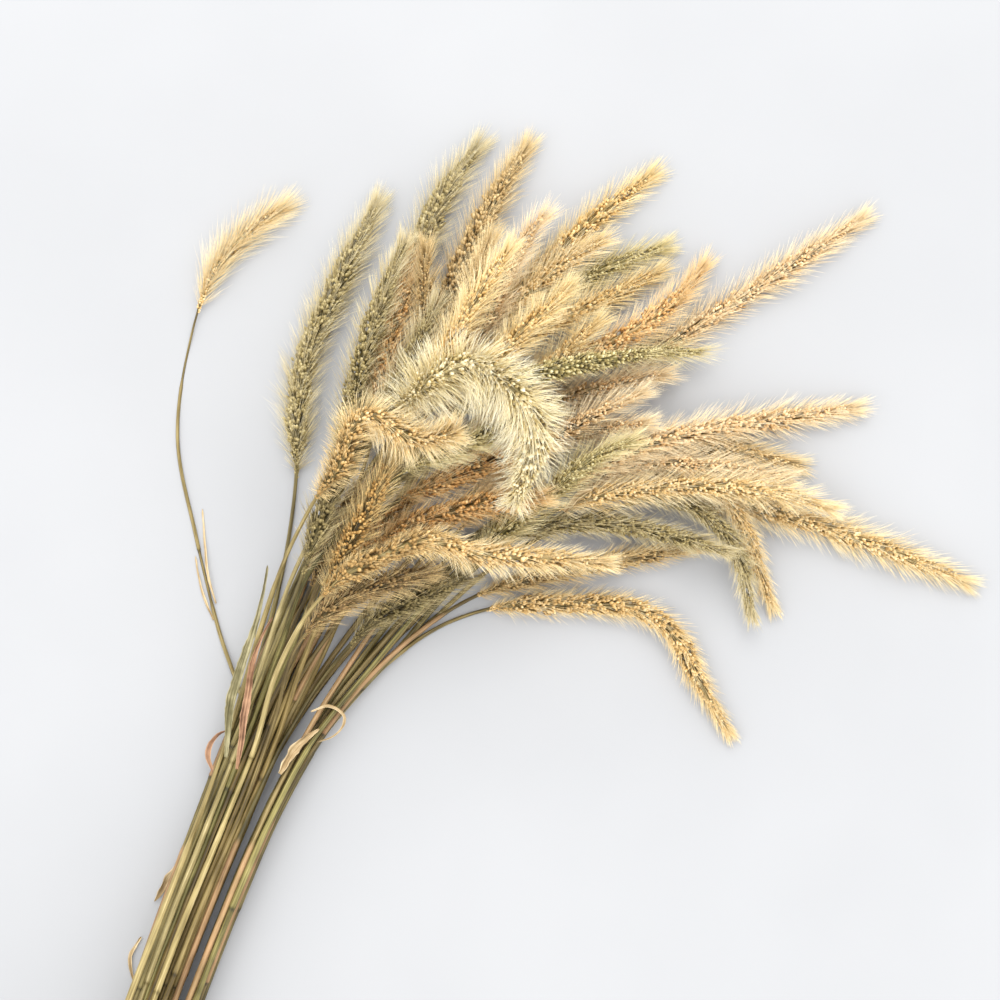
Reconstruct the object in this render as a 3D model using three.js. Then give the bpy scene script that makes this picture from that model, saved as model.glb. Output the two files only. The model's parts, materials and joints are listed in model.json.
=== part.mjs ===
// A cut and dried bunch of foxtail grass, with no vase, lying on its side on a table.
// Units are millimetres, +Z is up and the table is the plane z = 0.
//
// In plan, points are given from the throat of the bunch, where the stalks are closest together:
// +Y runs up the bunch to the heads and -Y runs down to the cut ends. Each stalk is one piece, a
// jointed stem with its bristly head, because it grew as one. The stalks are laid one after the
// other, and each rests on the table and on the stalks that were laid before it. At the end the
// bunch is moved so that the origin is the bottom centre of its box.

import * as THREE from "three";

// ---- Stalks ----

const STEM_RADIUS = 1.25; // at the cut end
const NECK_RADIUS = 0.6; // just under the head
const HEAD_RADIUS = 4; // spikelets and the bristles pressed against them
const HEAD_SWELL = 0.14; // share of the head in which it reaches its full radius
const HEAD_TAPER = 0.72; // share of the head after which it narrows to its tip
const TIP_RADIUS = 2.1;

// ---- The bunch in plan ----

const CUT_END_Y = -226; // the stalks are cut to one length, give or take CUT_SPREAD
const CUT_SPREAD = 11;
const CUT_END_X = -71;
const CUT_HALF_WIDTH = 15;
const WAIST_Y = -84;
const WAIST_X = -27;
const WAIST_HALF_WIDTH = 13;
const LOWER_CROSSING = 0.25; // how much the stalks swap places below the waist

// The upright stalks and the stalks that splay to the right leave the throat side by side.
const SPRAYS = {
  tall: { left: -9.5, right: 12, leftHeading: 72, rightHeading: 61, bow: 0.95 },
  side: { left: 17, right: 23.5, leftHeading: 57, rightHeading: 49, bow: 0.85 },
};

// ---- How the stalks lie ----

const SAMPLE = 1; // spacing of the points at which stalks are kept apart
const GAP = 0.42; // clearance between neighbours
const FLUFF = 0.3; // bristles hold a head this much further from what lies against it
const SAG = 0.008; // a stalk bends down over a support no faster than this, in 1/mm
const SPRING = 0.012; // and up again no faster than this
const LAYER_LIFT = [0, 1, 2, 4]; // how far the free end of a stalk in each layer stands up

// ---- Mesh ----

const SIDES = 6;
const STEM_RING_STEP = 34;
const HEAD_RING_STEP = 12;
const RING_TURN = 20; // degrees, the most that a stalk turns between two rings
const LEAF_RING_STEP = 9;

const TONES = {
  straw: 0xd9bd78,
  pale: 0xe3cf9a,
  olive: 0x9c9056,
  green: 0xa39d63,
  golden: 0xcfa55c,
  orange: 0xc8955a,
  peach: 0xd6ab7c,
  brown: 0xa5804f,
  leaf_grey: 0xa9a183,
  leaf_straw: 0xcdb37a,
  leaf_russet: 0xb98a6a,
};

// Each layer lists its stalks in the order in which they are laid. head runs from the base of the
// head to its tip, girth scales the head's radius, stem scales the stem's, and via overrides the
// stem's free course.
const LAYERS = [
  [
    { name: "stalk_far_reach", tone: "peach", spray: "tall", girth: 0.85,
      head: [[130, 133], [161, 153], [189, 171], [221, 192]] },
    { name: "stalk_longest_right", tone: "straw", spray: "side", girth: 0.95,
      head: [[152, 92], [175, 90], [203, 83], [231, 73], [258, 62]] },
    { name: "stalk_faint_droop", tone: "straw", spray: "side", girth: 0.75,
      head: [[140, 101], [165, 97], [177, 84], [183, 69], [189, 53]] },
    { name: "stalk_golden_top", tone: "golden", spray: "tall", girth: 0.95,
      head: [[80, 147], [112, 180], [130, 196], [146, 208]] },
    { name: "stalk_green_fan", tone: "green", spray: "tall", girth: 0.85,
      head: [[86, 147], [105, 161], [126, 173], [150, 182]] },
    { name: "stalk_hidden_green", tone: "green", spray: "tall", girth: 0.8,
      head: [[84, 127], [126, 143], [163, 144]] },
    { name: "stalk_tan_green_fan", tone: "straw", spray: "tall", girth: 0.85,
      head: [[78, 144], [96, 161], [112, 174], [128, 184]] },
    { name: "stalk_pink_inner", tone: "peach", spray: "tall", girth: 0.9,
      head: [[82, 143], [91, 165], [98, 181], [107, 192]] },
    { name: "stalk_low_arch", tone: "straw", spray: "side", girth: 0.95,
      head: [[87, 52], [116, 54], [140, 52], [153, 44], [162, 27], [173, 8]] },
    { name: "stalk_tan_right", tone: "straw", spray: "side", girth: 0.9,
      head: [[112, 98], [140, 108], [168, 110], [198, 104]] },
    { name: "stalk_lone_left", tone: "straw", spray: "tall", girth: 0.8, stem: 0.6, throat: 2,
      via: [[-6, 29], [-18, 77], [-25, 118]], head: [[-17, 160], [-9, 177], [2, 188], [13, 196]] },
  ],
  [
    { name: "stalk_olive_droop", tone: "olive", spray: "side", girth: 0.85,
      head: [[136, 92], [157, 90], [170, 81], [177, 68], [181, 50]] },
    { name: "stalk_pink_right", tone: "peach", spray: "side", girth: 0.85,
      head: [[112, 93], [140, 104], [165, 103], [193, 99]] },
    { name: "stalk_long_peach", tone: "peach", spray: "side", girth: 0.95,
      head: [[118, 97], [140, 110], [175, 118], [196, 121], [218, 124]] },
    { name: "stalk_golden_fan", tone: "golden", spray: "tall", girth: 0.95,
      head: [[81, 137], [98, 148], [121, 159], [148, 173]] },
    { name: "stalk_orange_crisp", tone: "orange", spray: "tall", girth: 0.95,
      head: [[91, 127], [126, 145], [142, 153], [157, 166], [164, 175]] },
    { name: "stalk_top_middle", tone: "brown", spray: "tall", girth: 1,
      head: [[60, 133], [79, 178], [88, 197], [100, 217]] },
    { name: "stalk_top_left", tone: "olive", spray: "tall", girth: 1,
      head: [[43, 127], [54, 161], [70, 199], [83, 218]] },
    { name: "stalk_low_grey", tone: "brown", spray: "side", girth: 0.85,
      head: [[83, 57], [99, 62], [130, 69], [161, 74]] },
    { name: "stalk_dark_right", tone: "olive", spray: "side", girth: 0.9,
      head: [[91, 77], [119, 83], [147, 80], [171, 73]] },
    { name: "stalk_yellow_right", tone: "straw", spray: "side", girth: 0.9,
      head: [[112, 88], [133, 94], [161, 96], [189, 94], [209, 88]] },
    { name: "stalk_tall_left", tone: "olive", spray: "tall", girth: 0.95,
      head: [[18, 101], [20, 136], [33, 168], [47, 197]] },
  ],
  [
    { name: "stalk_tan_tuft", tone: "peach", spray: "tall", girth: 0.9,
      head: [[72, 102], [98, 121], [126, 131], [150, 136]] },
    { name: "stalk_back_gold", tone: "golden", spray: "tall", girth: 0.9,
      head: [[78, 124], [95, 145], [115, 165]] },
    { name: "stalk_left_inner", tone: "orange", spray: "tall", girth: 0.9,
      head: [[45, 112], [52, 147], [60, 178]] },
    { name: "stalk_mid_pink", tone: "peach", spray: "side", girth: 0.85,
      head: [[80, 88], [112, 113], [143, 118]] },
    { name: "stalk_mid_gold", tone: "golden", spray: "tall", girth: 0.9,
      head: [[80, 113], [100, 131], [126, 154]] },
    { name: "stalk_dark_middle", tone: "brown", spray: "tall", girth: 0.85,
      head: [[71, 117], [78, 145], [82, 165], [88, 183]] },
    { name: "stalk_dark_seeded", tone: "brown", spray: "tall", girth: 0.85,
      head: [[54, 104], [62, 134], [65, 180]] },
    { name: "stalk_mid_peach", tone: "golden", spray: "tall", girth: 0.9,
      head: [[62, 120], [76, 149], [94, 178]] },
    { name: "stalk_brown_fan", tone: "peach", spray: "tall", girth: 0.85,
      head: [[77, 81], [98, 104], [126, 122], [141, 129]] },
    { name: "stalk_mid_right_green", tone: "green", spray: "side", girth: 0.9,
      head: [[80, 70], [107, 92], [122, 105], [138, 112]] },
    { name: "stalk_dark_green", tone: "green", spray: "tall", girth: 0.9,
      head: [[70, 117], [91, 130], [112, 137], [126, 140], [146, 143]] },
    { name: "stalk_left_edge", tone: "olive", spray: "tall", girth: 0.95,
      head: [[33, 100], [41, 135], [49, 160], [57, 181]] },
    { name: "stalk_olive_under", tone: "olive", spray: "tall", girth: 0.85,
      head: [[37, 84], [50, 96], [66, 107]] },
    { name: "stalk_orange_under", tone: "orange", spray: "tall", girth: 0.85,
      head: [[38, 66], [48, 80], [60, 92]] },
    { name: "stalk_brown_under", tone: "brown", spray: "tall", girth: 0.85,
      head: [[25, 62], [33, 79], [41, 94]] },
    { name: "stalk_small_green", tone: "olive", spray: "tall", girth: 0.85,
      head: [[44, 110], [57, 136], [69, 160]] },
  ],
  [
    { name: "stalk_green_brown", tone: "green", spray: "tall", girth: 0.9,
      head: [[58, 101], [72, 108], [88, 114], [108, 122]] },
    { name: "stalk_inner_brown_upper", tone: "orange", spray: "tall", girth: 0.9,
      head: [[57, 92], [68, 96], [84, 103], [105, 110]] },
    { name: "stalk_inner_brown_lower", tone: "orange", spray: "tall", girth: 0.9,
      head: [[48, 76], [62, 83], [82, 89], [106, 92]] },
    { name: "stalk_crook", tone: "pale", spray: "tall", girth: 1.15, via: [[14, 52], [37, 98]],
      head: [[56, 121], [70, 133], [80, 137], [92, 131], [100, 123], [103, 112], [100, 101], [96, 90]] },
    { name: "stalk_olive_inner", tone: "olive", spray: "tall", girth: 0.85,
      head: [[24, 67], [30, 85], [38, 103], [47, 122]] },
    { name: "stalk_tan_left_inner", tone: "golden", spray: "tall", girth: 0.85,
      head: [[31, 60], [38, 74], [46, 88], [54, 104]] },
    { name: "stalk_grey_low_inner", tone: "olive", spray: "tall", girth: 0.8,
      head: [[38, 40], [48, 50], [62, 57], [79, 64]] },
    { name: "stalk_brown_low", tone: "brown", spray: "tall", girth: 0.85,
      head: [[24, 45], [36, 56], [50, 62], [67, 66]] },
    { name: "stalk_front_low", tone: "straw", spray: "tall", girth: 0.95,
      head: [[30, 58], [42, 68], [56, 74], [67, 77], [80, 73], [105, 71], [129, 69]] },
    { name: "stalk_curl", tone: "straw", spray: "tall", girth: 1,
      head: [[29, 92], [37, 103], [40, 113], [45, 119], [51, 118], [59, 113], [68, 112], [77, 115]] },
  ],
];

// Dried leaves and sheaths that stayed on. They lie over the stalks of the layer they follow.
// course runs from the end on the stalk to the free tip; width is the greatest width.
const LEAVES = [
  { name: "leaf_broken_bit", after: 1, tone: "leaf_straw", width: 3.4,
    course: [[114, 87], [119, 93], [124, 95]] },
  { name: "fibre_dangling", after: 1, tone: "leaf_straw", width: 0.9,
    course: [[19, 31], [17.5, 21], [16, 10]] },
  { name: "sheath_waist", after: 1, tone: "leaf_straw", width: 3.6,
    course: [[-22, -37], [-28, -45], [-33, -53]] },
  { name: "sheath_low_loop", after: 1, tone: "leaf_straw", width: 1.6,
    course: [[-38, -66], [-42, -74], [-40, -84]] },
  { name: "sheath_right", after: 2, tone: "leaf_straw", width: 4,
    course: [[13, -6], [19, 4], [27, 10]] },
  { name: "fibre_loop", after: 2, tone: "leaf_straw", width: 1.1,
    course: [[24, 16], [31, 18], [36, 14], [33, 8], [26, 5]] },
  { name: "leaf_thin_upper", after: 2, tone: "leaf_straw", width: 1.4,
    course: [[2, 34], [7, 50], [11.5, 65]] },
  { name: "sheath_left_curl", after: 2, tone: "leaf_russet", width: 2.2,
    course: [[-11, -6], [-13, 1], [-10, 7], [-6, 9]] },
  { name: "leaf_russet", after: 3, tone: "leaf_russet", width: 2.8,
    course: [[-2, -4], [2, 21], [5, 38], [11, 50]] },
  { name: "leaf_folded", after: 3, tone: "leaf_grey", width: 3.4,
    course: [[-6, 0], [-4, 21], [3, 42], [6, 53], [8.5, 68]] },
  { name: "blade_thin_long", after: 3, tone: "leaf_straw", width: 0.9,
    course: [[-11, 54], [-14, 65], [-15, 75], [-16, 88]] },
  { name: "blade_thin_short", after: 3, tone: "leaf_straw", width: 0.9,
    course: [[-12, 48], [-16.5, 60], [-18.5, 71]] },
];
const LEAF_THICKNESS = 0.32; // half of it, as a share of the half width, at the widest place
const LEAF_END_SHARE = 0.35; // the width at the end on the stalk, as a share of the greatest

// ---- Courses in plan ----

// A repeatable unevenness between -1 and 1.
function uneven(index, kind) {
  const wave = Math.sin(index * 12.9898 + kind * 78.233) * 43758.5453;
  return 2 * (wave - Math.floor(wave)) - 1;
}

function plan([x, y]) {
  return new THREE.Vector3(x, y, 0);
}

// The free course of a springy stem between two points, leaving and arriving at given headings.
function springyStem(start, startHeading, end, endDirection, bow) {
  const reach = start.distanceTo(end) * bow;
  const leaving = new THREE.Vector3(Math.cos(startHeading), Math.sin(startHeading), 0);
  const control1 = start.clone().addScaledVector(leaving, reach / 3);
  const control2 = end.clone().addScaledVector(endDirection, -reach / 3);
  const curve = new THREE.CubicBezierCurve3(start, control1, control2, end);
  return [0.3, 0.65].map((share) => curve.getPoint(share));
}

// The places of one layer's stalks across the throat: from left to right in the order of their
// heads, so that the stems of a layer fan out without crossing.
function throatPlaces(layer, layerIndex) {
  const places = new Map();
  for (const [sprayName, spray] of Object.entries(SPRAYS)) {
    const members = layer.filter((stalk) => stalk.spray === sprayName);
    const bearing = ({ head }) => Math.atan2(head[0][1], head[0][0] - spray.left);
    members.sort((a, b) => bearing(b) - bearing(a));
    members.forEach((stalk, rank) => {
      const nestled = layerIndex % 2 === 0 ? 0.25 : 0.75;
      places.set(stalk, (rank + nestled) / members.length);
    });
  }
  return places;
}

function stalkCourse(stalk, place, index) {
  const spray = SPRAYS[stalk.spray];
  const throatX = stalk.throat ?? THREE.MathUtils.lerp(spray.left, spray.right, place);
  const across = THREE.MathUtils.mapLinear(throatX, SPRAYS.tall.left, SPRAYS.side.right, -1, 1);
  const crossed = across * (1 - LOWER_CROSSING) + uneven(index, 1) * LOWER_CROSSING;
  const cutEnd = plan([
    CUT_END_X + crossed * CUT_HALF_WIDTH,
    CUT_END_Y + uneven(index, 2) * CUT_SPREAD,
  ]);
  const waist = plan([WAIST_X + across * WAIST_HALF_WIDTH, WAIST_Y]);
  const throat = plan([throatX, 0]);
  const head = stalk.head.map(plan);
  const headDirection = head[1].clone().sub(head[0]).normalize();
  const heading = THREE.MathUtils.lerp(spray.leftHeading, spray.rightHeading, place);
  const free = stalk.via
    ? stalk.via.map(plan)
    : springyStem(throat, THREE.MathUtils.degToRad(heading), head[0], headDirection, spray.bow);
  const points = [cutEnd, waist, throat, ...free, ...head];
  return new THREE.CatmullRomCurve3(points, false, "centripetal");
}

// ---- Rings along a course ----

// Points every SAMPLE along a curve in plan, each with its distance from the start.
function sampleCourse(curve) {
  const steps = Math.ceil(curve.getLength() / SAMPLE);
  curve.arcLengthDivisions = steps * 4;
  curve.updateArcLengths();
  const length = curve.getLength();
  return curve.getSpacedPoints(steps).map((point, i) => ({ point, s: (length * i) / steps }));
}

// The samples that carry a ring: one at each end, one where a head starts, and between them one at
// each step and wherever the course turns.
function ringSamples(samples, stepAt, headSample = 0) {
  const rings = [0];
  const last = samples.length - 1;
  for (let i = 1; i < last; i += 1) {
    const from = samples[rings.at(-1)];
    const before = samples[rings.at(-1) + 1].point.clone().sub(from.point);
    const after = samples[i + 1].point.clone().sub(samples[i].point);
    const turn = THREE.MathUtils.radToDeg(before.angleTo(after));
    const farEnough = samples[i].s - from.s >= stepAt(samples[i].s);
    if (i === headSample || farEnough || turn >= RING_TURN) {
      rings.push(i);
    }
  }
  rings.push(last);
  return rings;
}

// ---- Laying ----

const CELL = 14; // at least the widest distance at which two stalks touch
const laid = new Map(); // grid cell -> points of the pieces laid so far

function cellsAround(point) {
  const column = Math.floor(point.x / CELL);
  const row = Math.floor(point.y / CELL);
  const cells = [];
  for (const dx of [-1, 0, 1]) {
    for (const dy of [-1, 0, 1]) {
      cells.push(`${column + dx},${row + dy}`);
    }
  }
  return cells;
}

// The lowest height at which a piece of this reach clears the table and all that lies below.
function heightNeeded(point, radius, reach) {
  let height = radius;
  for (const cell of cellsAround(point)) {
    for (const below of laid.get(cell) ?? []) {
      const apart = reach + below.reach + GAP;
      const sideways = Math.hypot(point.x - below.point.x, point.y - below.point.y);
      if (sideways < apart) {
        height = Math.max(height, below.point.z + Math.sqrt(apart ** 2 - sideways ** 2));
      }
    }
  }
  return height;
}

function remember(point, reach) {
  const cell = `${Math.floor(point.x / CELL)},${Math.floor(point.y / CELL)}`;
  if (!laid.has(cell)) {
    laid.set(cell, []);
  }
  laid.get(cell).push({ point, reach });
}

// A springy piece rests on the heights needed and bends no faster than it can.
function drape(needed) {
  const over = needed.map((_, i) => {
    let best = 0;
    needed.forEach((height, j) => {
      best = Math.max(best, height - SAG * ((i - j) * SAMPLE) ** 2);
    });
    return best;
  });
  return over.map((_, i) => {
    let best = Infinity;
    over.forEach((height, j) => {
      best = Math.min(best, height + SPRING * ((i - j) * SAMPLE) ** 2);
    });
    return best;
  });
}

// Lays a piece: gives its ring centres their heights, lifts each straight link between two rings
// clear of what lies below, and remembers where the piece now is.
function lay(samples, rings, radii, reaches, lift) {
  const needed = samples.map(({ point }, i) => heightNeeded(point, radii[i], reaches[i]));
  const heights = drape(needed.map((height, i) => height + lift(i)));
  const centres = rings.map((i) => samples[i].point.clone().setZ(heights[i]));
  const share = (k, i) => (i - rings[k]) / (rings[k + 1] - rings[k]);
  for (let k = 0; k + 1 < rings.length; k += 1) {
    let short = 0;
    for (let i = rings[k]; i <= rings[k + 1]; i += 1) {
      const along = samples[rings[k]].point.clone().lerp(samples[rings[k + 1]].point, share(k, i));
      const link = THREE.MathUtils.lerp(centres[k].z, centres[k + 1].z, share(k, i));
      short = Math.max(short, heightNeeded(along, radii[i], reaches[i]) - link);
    }
    centres[k].z += short;
    centres[k + 1].z += short;
  }
  for (let k = 0; k + 1 < rings.length; k += 1) {
    for (let i = rings[k]; i < rings[k + 1]; i += 1) {
      remember(centres[k].clone().lerp(centres[k + 1], share(k, i)), reaches[i]);
    }
  }
  remember(centres.at(-1), reaches[rings.at(-1)]);
  return centres;
}

// ---- Solids ----

// A closed skin of rings around the centres. Each ring's first corner points down, and the first
// and last centres are poles that close the ends. Flattened rings lie level.
function skin(centres, halfWidths, halfHeights, capped) {
  const positions = [];
  const indices = [];
  const up = new THREE.Vector3(0, 0, 1);
  const add = (point) => positions.push(point.x, point.y, point.z);
  add(centres[0]);
  centres.forEach((centre, k) => {
    const tangent = centres[Math.min(k + 1, centres.length - 1)].clone();
    tangent.sub(centres[Math.max(k - 1, 0)]).normalize();
    const side = new THREE.Vector3().crossVectors(tangent, up).normalize();
    const top = new THREE.Vector3().crossVectors(side, tangent);
    for (let corner = 0; corner < SIDES; corner += 1) {
      const angle = (2 * Math.PI * corner) / SIDES;
      const point = centre.clone();
      point.addScaledVector(side, Math.sin(angle) * halfWidths[k]);
      point.addScaledVector(top, -Math.cos(angle) * halfHeights[k]);
      add(point);
    }
  });
  const ringCount = centres.length;
  const corner = (k, j) => 1 + k * SIDES + (j % SIDES);
  const endPole = 1 + ringCount * SIDES;
  const onward = centres.at(-1).clone().sub(centres.at(-2)).normalize();
  add(centres.at(-1).clone().addScaledVector(onward, capped));
  for (let j = 0; j < SIDES; j += 1) {
    indices.push(0, corner(0, j), corner(0, j + 1));
    for (let k = 0; k + 1 < ringCount; k += 1) {
      indices.push(corner(k, j), corner(k + 1, j + 1), corner(k, j + 1));
      indices.push(corner(k, j), corner(k + 1, j), corner(k + 1, j + 1));
    }
    indices.push(endPole, corner(ringCount - 1, j + 1), corner(ringCount - 1, j));
  }
  const geometry = new THREE.BufferGeometry();
  geometry.setAttribute("position", new THREE.Float32BufferAttribute(positions, 3));
  geometry.setIndex(indices);
  geometry.computeVertexNormals();
  return geometry;
}

function pieceOf(name, tone, geometry) {
  const material = new THREE.MeshStandardMaterial({ color: TONES[tone], roughness: 0.8, metalness: 0 });
  const mesh = new THREE.Mesh(geometry, material);
  mesh.name = name;
  return mesh;
}

// ---- Stalks and leaves ----

// The radius of a stalk at distance s: a slowly thinning stem, then a head that swells quickly,
// keeps its girth and narrows to a blunt tip.
function stalkRadius(s, headStart, length, { girth, stem = 1 }) {
  if (s <= headStart) {
    return stem * THREE.MathUtils.lerp(STEM_RADIUS, NECK_RADIUS, s / headStart);
  }
  const u = (s - headStart) / (length - headStart);
  const neck = NECK_RADIUS * stem;
  const full = HEAD_RADIUS * girth;
  if (u < HEAD_SWELL) {
    return THREE.MathUtils.lerp(neck, full, Math.sin((Math.PI / 2) * (u / HEAD_SWELL)));
  }
  const narrowing = THREE.MathUtils.smoothstep(u, HEAD_TAPER, 1);
  return THREE.MathUtils.lerp(full, TIP_RADIUS, narrowing);
}

function makeStalk(stalk, place, index, layerIndex) {
  const samples = sampleCourse(stalkCourse(stalk, place, index));
  const length = samples.at(-1).s;
  const headBase = plan(stalk.head[0]);
  const distances = samples.map(({ point }) => point.distanceTo(headBase));
  const headSample = distances.indexOf(Math.min(...distances));
  const headStart = samples[headSample].s;
  const throatAt = samples.find(({ point }) => point.y >= 0).s;
  const radii = samples.map(({ s }) => stalkRadius(s, headStart, length, stalk));
  const reaches = samples.map(({ s }, i) => radii[i] + (s > headStart ? FLUFF : 0));
  const lift = (i) =>
    LAYER_LIFT[layerIndex] * THREE.MathUtils.smoothstep(samples[i].s, throatAt, length);
  const stepAt = (s) => (s < headStart ? STEM_RING_STEP : HEAD_RING_STEP);
  const rings = ringSamples(samples, stepAt, headSample);
  const centres = lay(samples, rings, radii, reaches, lift);
  const ringRadii = rings.map((i) => radii[i]);
  return pieceOf(stalk.name, stalk.tone, skin(centres, ringRadii, ringRadii, TIP_RADIUS / 2));
}

// A dried leaf has curled in on itself: thicker than a blade, widest at a third of its length.
function makeLeaf(leaf) {
  const samples = sampleCourse(new THREE.CatmullRomCurve3(leaf.course.map(plan), false, "centripetal"));
  const length = samples.at(-1).s;
  const halfWidth = (s) => {
    const u = s / length;
    const swell = LEAF_END_SHARE + (1 - LEAF_END_SHARE) * THREE.MathUtils.smoothstep(u, 0, 0.3);
    return (leaf.width / 2) * swell * (1 - 0.75 * THREE.MathUtils.smoothstep(u, 0.4, 1));
  };
  const radii = samples.map(({ s }) => halfWidth(s));
  const rings = ringSamples(samples, () => LEAF_RING_STEP);
  const centres = lay(samples, rings, radii, radii, () => 0);
  const widths = rings.map((i) => radii[i]);
  const heights = widths.map((width) => Math.max(width * LEAF_THICKNESS, 0.25));
  return pieceOf(leaf.name, leaf.tone, skin(centres, widths, heights, widths.at(-1)));
}

const bunch = new THREE.Group();
let stalkCount = 0;
LAYERS.forEach((layer, layerIndex) => {
  const places = throatPlaces(layer, layerIndex);
  for (const stalk of layer) {
    bunch.add(makeStalk(stalk, places.get(stalk), stalkCount, layerIndex));
    stalkCount += 1;
  }
  for (const leaf of LEAVES.filter(({ after }) => after === layerIndex)) {
    bunch.add(makeLeaf(leaf));
  }
});

const box = new THREE.Box3().setFromObject(bunch, true);
const centre = box.getCenter(new THREE.Vector3());
bunch.position.set(-centre.x, -centre.y, -box.min.z);

export default bunch;
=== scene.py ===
# A dried bunch of foxtail grass, lying on a pale surface. Each CAD stalk gives the course and girth
# of a real one, which is made here of three pieces: the jointed culm, the spikelets and the
# bristles. Each CAD leaf gives those of a thin folded blade. Units are metres unless a name ends
# in mm.

import json
import math
from functools import cache
from typing import NamedTuple

import bpy
import numpy as np
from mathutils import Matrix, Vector


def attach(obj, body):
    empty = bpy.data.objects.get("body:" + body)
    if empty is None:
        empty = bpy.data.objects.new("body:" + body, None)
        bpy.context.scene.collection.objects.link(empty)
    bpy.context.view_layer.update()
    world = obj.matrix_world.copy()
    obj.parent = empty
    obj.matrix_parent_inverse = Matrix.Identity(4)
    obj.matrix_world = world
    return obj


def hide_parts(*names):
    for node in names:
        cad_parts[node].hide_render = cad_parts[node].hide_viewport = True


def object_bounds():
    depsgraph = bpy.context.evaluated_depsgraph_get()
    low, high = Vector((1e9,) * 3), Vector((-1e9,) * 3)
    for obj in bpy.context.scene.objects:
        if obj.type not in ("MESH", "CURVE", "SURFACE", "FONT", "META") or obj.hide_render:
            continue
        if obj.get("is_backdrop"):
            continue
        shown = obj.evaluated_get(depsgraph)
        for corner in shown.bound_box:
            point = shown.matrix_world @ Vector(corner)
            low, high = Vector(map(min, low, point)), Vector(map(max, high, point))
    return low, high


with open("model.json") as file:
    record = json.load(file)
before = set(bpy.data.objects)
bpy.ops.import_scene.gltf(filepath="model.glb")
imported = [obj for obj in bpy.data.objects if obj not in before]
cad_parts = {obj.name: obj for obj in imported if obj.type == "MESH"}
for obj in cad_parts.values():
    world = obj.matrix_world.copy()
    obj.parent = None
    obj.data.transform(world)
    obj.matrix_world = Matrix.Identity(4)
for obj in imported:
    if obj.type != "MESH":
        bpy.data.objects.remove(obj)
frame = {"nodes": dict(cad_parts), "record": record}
cad_low, cad_high = (np.array(corner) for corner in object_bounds())

MM = 0.001
FLOOR_CLEARANCE = 0.15 * MM


# ---- Tones: sRGB colours, 0 to 255, each from dark to light or from root to tip ----

# The bristle tones are lighter than dry hairs are, with a painted glow that stands in for light
# shining through them.
TONES = {
    "straw": {
        "culm": [(106, 91, 48), (168, 151, 101)],
        "seed": [(152, 120, 68), (206, 170, 108), (248, 230, 184)],
        "bristle": [(244, 214, 152), (255, 246, 214)],
    },
    "pale": {
        "culm": [(106, 92, 50), (166, 152, 106)],
        "seed": [(66, 52, 24), (186, 164, 104), (253, 245, 214)],
        "bristle": [(244, 224, 162), (255, 250, 226)],
    },
    "olive": {
        "culm": [(86, 76, 40), (148, 134, 84)],
        "seed": [(106, 93, 54), (154, 138, 89), (200, 186, 138)],
        "bristle": [(206, 188, 138), (246, 237, 204)],
    },
    "green": {
        "culm": [(84, 78, 38), (148, 138, 82)],
        "seed": [(72, 63, 30), (156, 139, 80), (240, 230, 182)],
        "bristle": [(222, 204, 142), (252, 242, 202)],
    },
    "golden": {
        "culm": [(101, 83, 41), (163, 145, 90)],
        "seed": [(148, 112, 56), (206, 166, 98), (248, 228, 172)],
        "bristle": [(244, 214, 148), (255, 243, 202)],
    },
    "orange": {
        "culm": [(97, 80, 41), (158, 137, 84)],
        "seed": [(130, 90, 44), (204, 154, 88), (248, 222, 166)],
        "bristle": [(242, 204, 142), (255, 238, 196)],
    },
    "peach": {
        "culm": [(101, 84, 46), (161, 143, 97)],
        "seed": [(164, 124, 80), (216, 178, 124), (250, 234, 194)],
        "bristle": [(245, 217, 168), (255, 244, 214)],
    },
    "brown": {
        "culm": [(89, 74, 39), (148, 130, 82)],
        "seed": [(104, 80, 44), (176, 144, 90), (236, 212, 160)],
        "bristle": [(226, 196, 138), (252, 236, 192)],
    },
    "leaf_grey": {"leaf": [(112, 106, 74), (180, 172, 136)]},
    "leaf_straw": {"leaf": [(150, 126, 88), (214, 194, 156)]},
    "leaf_russet": {"leaf": [(104, 72, 50), (190, 150, 118)]},
}
BLUSH = [(118, 84, 56), (184, 148, 108)]  # the pinkish brown of some sheaths
CULM_HIGHLIGHT = (208, 192, 146)
# The palest colour of the spikelets is a painted highlight.
SEED_PAINTED_HIGHLIGHT = (254, 247, 226)
FLOOR = [(167, 169, 173), (171, 173, 177)]


# ---- Looks: how each head is made ----

# spread is the bristles' angle to the axis in degrees, and tip that angle's share at the tip. Their
# length and radius are length_mm and radius_mm, per_mm of them stand along each millimetre, and
# droop is how far they hang towards the stems. bare thins and shortens them towards the tip, so
# that the spikelets show there. reach is how far the spikelets stand out, as a share of the CAD
# radius, and specks is the share of them that are dark, partly in their own tone and partly as
# painted shade in the gaps between clusters. The last two keys paint shade: the first darkens the
# whole head with painted shade where it lies deep in the bunch, or pales it with painted light
# below nought, and the second adds painted shade to its lower part, where shade falls.
PLAIN_HEAD = {
    "spread": 42, "tip": 0.5, "length_mm": 10.5, "per_mm": 18.0, "radius_mm": 0.070, "droop": 0.0,
    "bare": 0.0, "reach": 0.98, "specks": 0.04, "painted_shade": 0.0, "painted_base_shade": 0.0,
}
SPARSE_HEAD = {**PLAIN_HEAD, "length_mm": 11.5, "per_mm": 24.0, "radius_mm": 0.055, "reach": 1.12}
# Inner and shaded heads lie deep in the bunch, and painted shade darkens them.
INNER_HEAD = {**PLAIN_HEAD, "length_mm": 10.2, "per_mm": 19.0, "reach": 1.16, "painted_shade": 0.28}
SHADED_HEAD = {**INNER_HEAD, "painted_shade": 0.58}
SHORT_HEAD = {**PLAIN_HEAD, "spread": 38, "length_mm": 7.5, "per_mm": 20.0, "painted_shade": 0.16}
LEFT_HEAD = {**PLAIN_HEAD, "reach": 1.05, "painted_shade": 0.14}
BRIGHT_HEAD = {**PLAIN_HEAD, "radius_mm": 0.085, "per_mm": 30.0}
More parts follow.
